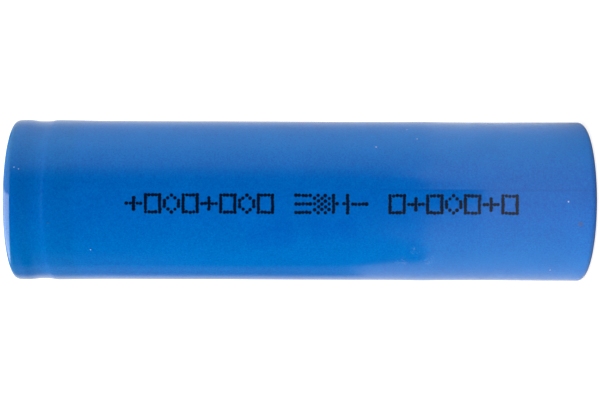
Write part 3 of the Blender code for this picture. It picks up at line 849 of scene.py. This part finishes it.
washer = makeWasher(paperFinish())
print("washer made:", len(washer.data.polygons), "faces")


gasketSize = {
    "topBore": 6.185,
    "top": 64.27,
    "ledge": 0.22,
    "shoulder": (8.285, 63.75, 0.52),
    "corner": (8.685, 62.95, 0.12),
    "baseBore": 7.305,
    "base": 62.83,
    "baseLedge": 63.08,
    "bore": 8.355,
}


def makeGasket(material):
    s = gasketSize
    shoulder, corner = s["shoulder"], s["corner"]
    section = chain(
        straight((s["topBore"] + 0.05, s["top"]), (shoulder[0], s["top"]), 6),
        arcRun(*shoulder, 90, 0, 10),
        arcRun(*corner, 0, -90, 4),
        straight((corner[0], s["base"]), (s["baseBore"], s["base"]), 4),
        [(s["baseBore"], s["baseLedge"])],
        straight((s["baseBore"], s["baseLedge"]), (s["bore"], s["baseLedge"]), 3),
        straight((s["bore"], s["baseLedge"]), (s["bore"], s["top"] - s["ledge"]), 5),
        straight((s["bore"], s["top"] - s["ledge"]), (s["topBore"], s["top"] - s["ledge"]), 6),
        [(s["topBore"], s["top"] - 0.05)],
    )
    piece = turnGrid("sealGasket", sweep(section, around(192)), material)
    return standFor(piece, "sealing_gasket")


def polymerFinish(name, light, dark):
    # moulded polymer: cloudy shade and a satin skin from two sizes of noise
    material, polymer = newFinish(name)
    where = polymer.place()
    cloudy = polymer.noise(where, 500.0, 3.0)
    skin = polymer.noise(where, 5000.0, 2.0)
    colour = polymer.mix(cloudy.rise(0.3, 0.7), light, dark)
    polymer.surface(Base_Color=colour, Roughness=0.42 + 0.15 * skin, Normal=polymer.bump(skin, 0.000004))
    return material


nylon = polymerFinish("gasketNylon", rgb(0.80, 0.79, 0.75), rgb(0.70, 0.69, 0.64))
gasket = makeGasket(nylon)
print("gasket made:", len(gasket.data.polygons), "faces")


# positive cap

capSize = {
    "top": 65.20,
    "plateau": 4.485,
    "corner": 0.45,
    "foot": 4.935,
    "fillet": 0.20,
    "flange": 64.02,
    "radius": 8.325,
    "sheet": 0.35,
    "windows": 4,
    "window": 2.00,
    "sill": 64.08,
    "lintel": 64.63,
    "lean": 0.20,  # how far the wall leans out between lintel and sill
    "columns": 288,
}


def makeCap(material):
    # outside run from the middle out, a copy inside it, and walls round each window
    s = capSize
    outer = chain(
        straight((0.25, s["top"]), (s["plateau"] - s["corner"], s["top"]), 10),
        arcRun(s["plateau"] - s["corner"], s["top"] - s["corner"], s["corner"], 90, 6, 8),
        straight((s["plateau"], s["lintel"]), (s["plateau"] + s["lean"], s["sill"]), 4),
        arcRun(s["foot"], s["flange"] + s["fillet"], s["fillet"], 240, 270, 3),
        straight((s["foot"], s["flange"]), (s["radius"], s["flange"]), 10),
    )
    normal = leftOf(outer)
    inner = outer - normal * s["sheet"]
    inner[:, 0] = np.maximum(inner[:, 0], 0.02)
    count, columns = len(outer), s["columns"]
    section = np.vstack((outer, inner[::-1]))
    angles = around(columns)
    grid = sweep(section, angles)
    # window faces: rows between sill and lintel, columns within half a width of each middle
    top = np.argmin(np.abs(outer[:, 1] - s["lintel"]) + np.abs(outer[:, 0] - s["plateau"]))
    foot = np.argmin(np.abs(outer[:, 1] - s["sill"]) + np.abs(outer[:, 0] - s["plateau"] - s["lean"]))
    middle = np.degrees(angles) + 180 / columns
    pitch = 360 / s["windows"]
    away = np.radians(np.abs(middle % pitch - pitch / 2)) * s["plateau"]
    opening = away < s["window"] / 2
    faces = gridFaces(2 * count, columns, False).reshape(2 * count - 1, columns, 4)
    keep = np.ones((2 * count - 1, columns), bool)
    keep[top:foot, opening] = False
    keep[2 * count - 1 - foot : 2 * count - 1 - top, opening] = False
    kept = faces[keep]
    points = grid.reshape(-1, 3)

    def at(row, column):
        return row * columns + column % columns

    def mirror(row):
        return 2 * count - 1 - row

    walls = []
    for j in np.nonzero(opening)[0]:
        walls.append((at(top, j), at(top, j + 1), at(mirror(top), j + 1), at(mirror(top), j)))
        walls.append((at(foot, j + 1), at(foot, j), at(mirror(foot), j), at(mirror(foot), j + 1)))
        for edge, near in ((j, j - 1), (j + 1, j + 1)):
            if opening[near % columns]:
                continue
            for i in range(top, foot):
                wall = (at(i, edge), at(i + 1, edge), at(mirror(i + 1), edge), at(mirror(i), edge))
                walls.append(wall[::-1] if edge == j else wall)
    points = np.vstack((points, [[0, 0, s["top"]], [0, 0, s["top"] - s["sheet"]]]))
    total = 2 * count * columns
    fans = [fanFaces(0, total, columns, False), fanFaces(total - columns, total + 1, columns, True)]
    shell = outward(points, [kept, *fans])
    flipped = not np.array_equal(shell[0], kept)
    walls = np.array(walls)
    walls = walls[:, ::-1] if flipped else walls
    faces = [face for group in [*shell, walls] for face in group.tolist()]
    piece = makePiece("positiveCap", points * mm, faces, material)
    return standFor(piece, "positive_cap")


cap = makeCap(steelFinish("capSteel", rgb(0.72, 0.70, 0.66), rgb(0.64, 0.62, 0.58), 0.16))
print("cap made:", len(cap.data.polygons), "faces")


# finishes of the CAD pieces inside

hiddenColours = {
    "ptc_ring": (rgb(0.030, 0.030, 0.032), rgb(0.050, 0.050, 0.050)),
    "vent_insulator": (rgb(0.78, 0.77, 0.72), rgb(0.68, 0.67, 0.62)),
    "upper_insulator": (rgb(0.52, 0.42, 0.24), rgb(0.44, 0.34, 0.18)),
    "lower_insulator": (rgb(0.52, 0.42, 0.24), rgb(0.44, 0.34, 0.18)),
    "positive_electrode": (rgb(0.030, 0.030, 0.034), rgb(0.048, 0.048, 0.052)),
    "negative_electrode": (rgb(0.020, 0.020, 0.022), rgb(0.032, 0.031, 0.030)),
    "separator_inner": (rgb(0.84, 0.84, 0.82), rgb(0.76, 0.76, 0.74)),
    "separator_outer": (rgb(0.84, 0.84, 0.82), rgb(0.76, 0.76, 0.74)),
    "roll_tape": (rgb(0.62, 0.30, 0.06), rgb(0.54, 0.25, 0.05)),
    "positive_lead_tape": (rgb(0.62, 0.30, 0.06), rgb(0.54, 0.25, 0.05)),
    "negative_lead_tape": (rgb(0.62, 0.30, 0.06), rgb(0.54, 0.25, 0.05)),
}
hiddenMetals = {
    "vent_disc": (rgb(0.80, 0.81, 0.82), rgb(0.70, 0.71, 0.72)),
    "weld_plate": (rgb(0.80, 0.81, 0.82), rgb(0.70, 0.71, 0.72)),
    "positive_lead": (rgb(0.80, 0.81, 0.82), rgb(0.70, 0.71, 0.72)),
    "negative_lead": (rgb(0.64, 0.60, 0.53), rgb(0.55, 0.51, 0.45)),
    "centre_pin": (rgb(0.62, 0.61, 0.59), rgb(0.52, 0.51, 0.49)),
}
replaced = {
    "heat_shrink_sleeve": sleeve.active_material,
    "cell_can": can.active_material,
    "terminal_washer": washer.active_material,
    "sealing_gasket": nylon,
    "positive_cap": cap.active_material,
}
for name, (light, dark) in hiddenColours.items():
    replaced[name] = polymerFinish(name + "Skin", light, dark)
for name, (light, dark) in hiddenMetals.items():
    replaced[name] = steelFinish(name + "Metal", light, dark, 0.25)
for name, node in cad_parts.items():
    node.data.materials.clear()
    node.data.materials.append(replaced[name])
print("CAD finishes set:", len(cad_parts))
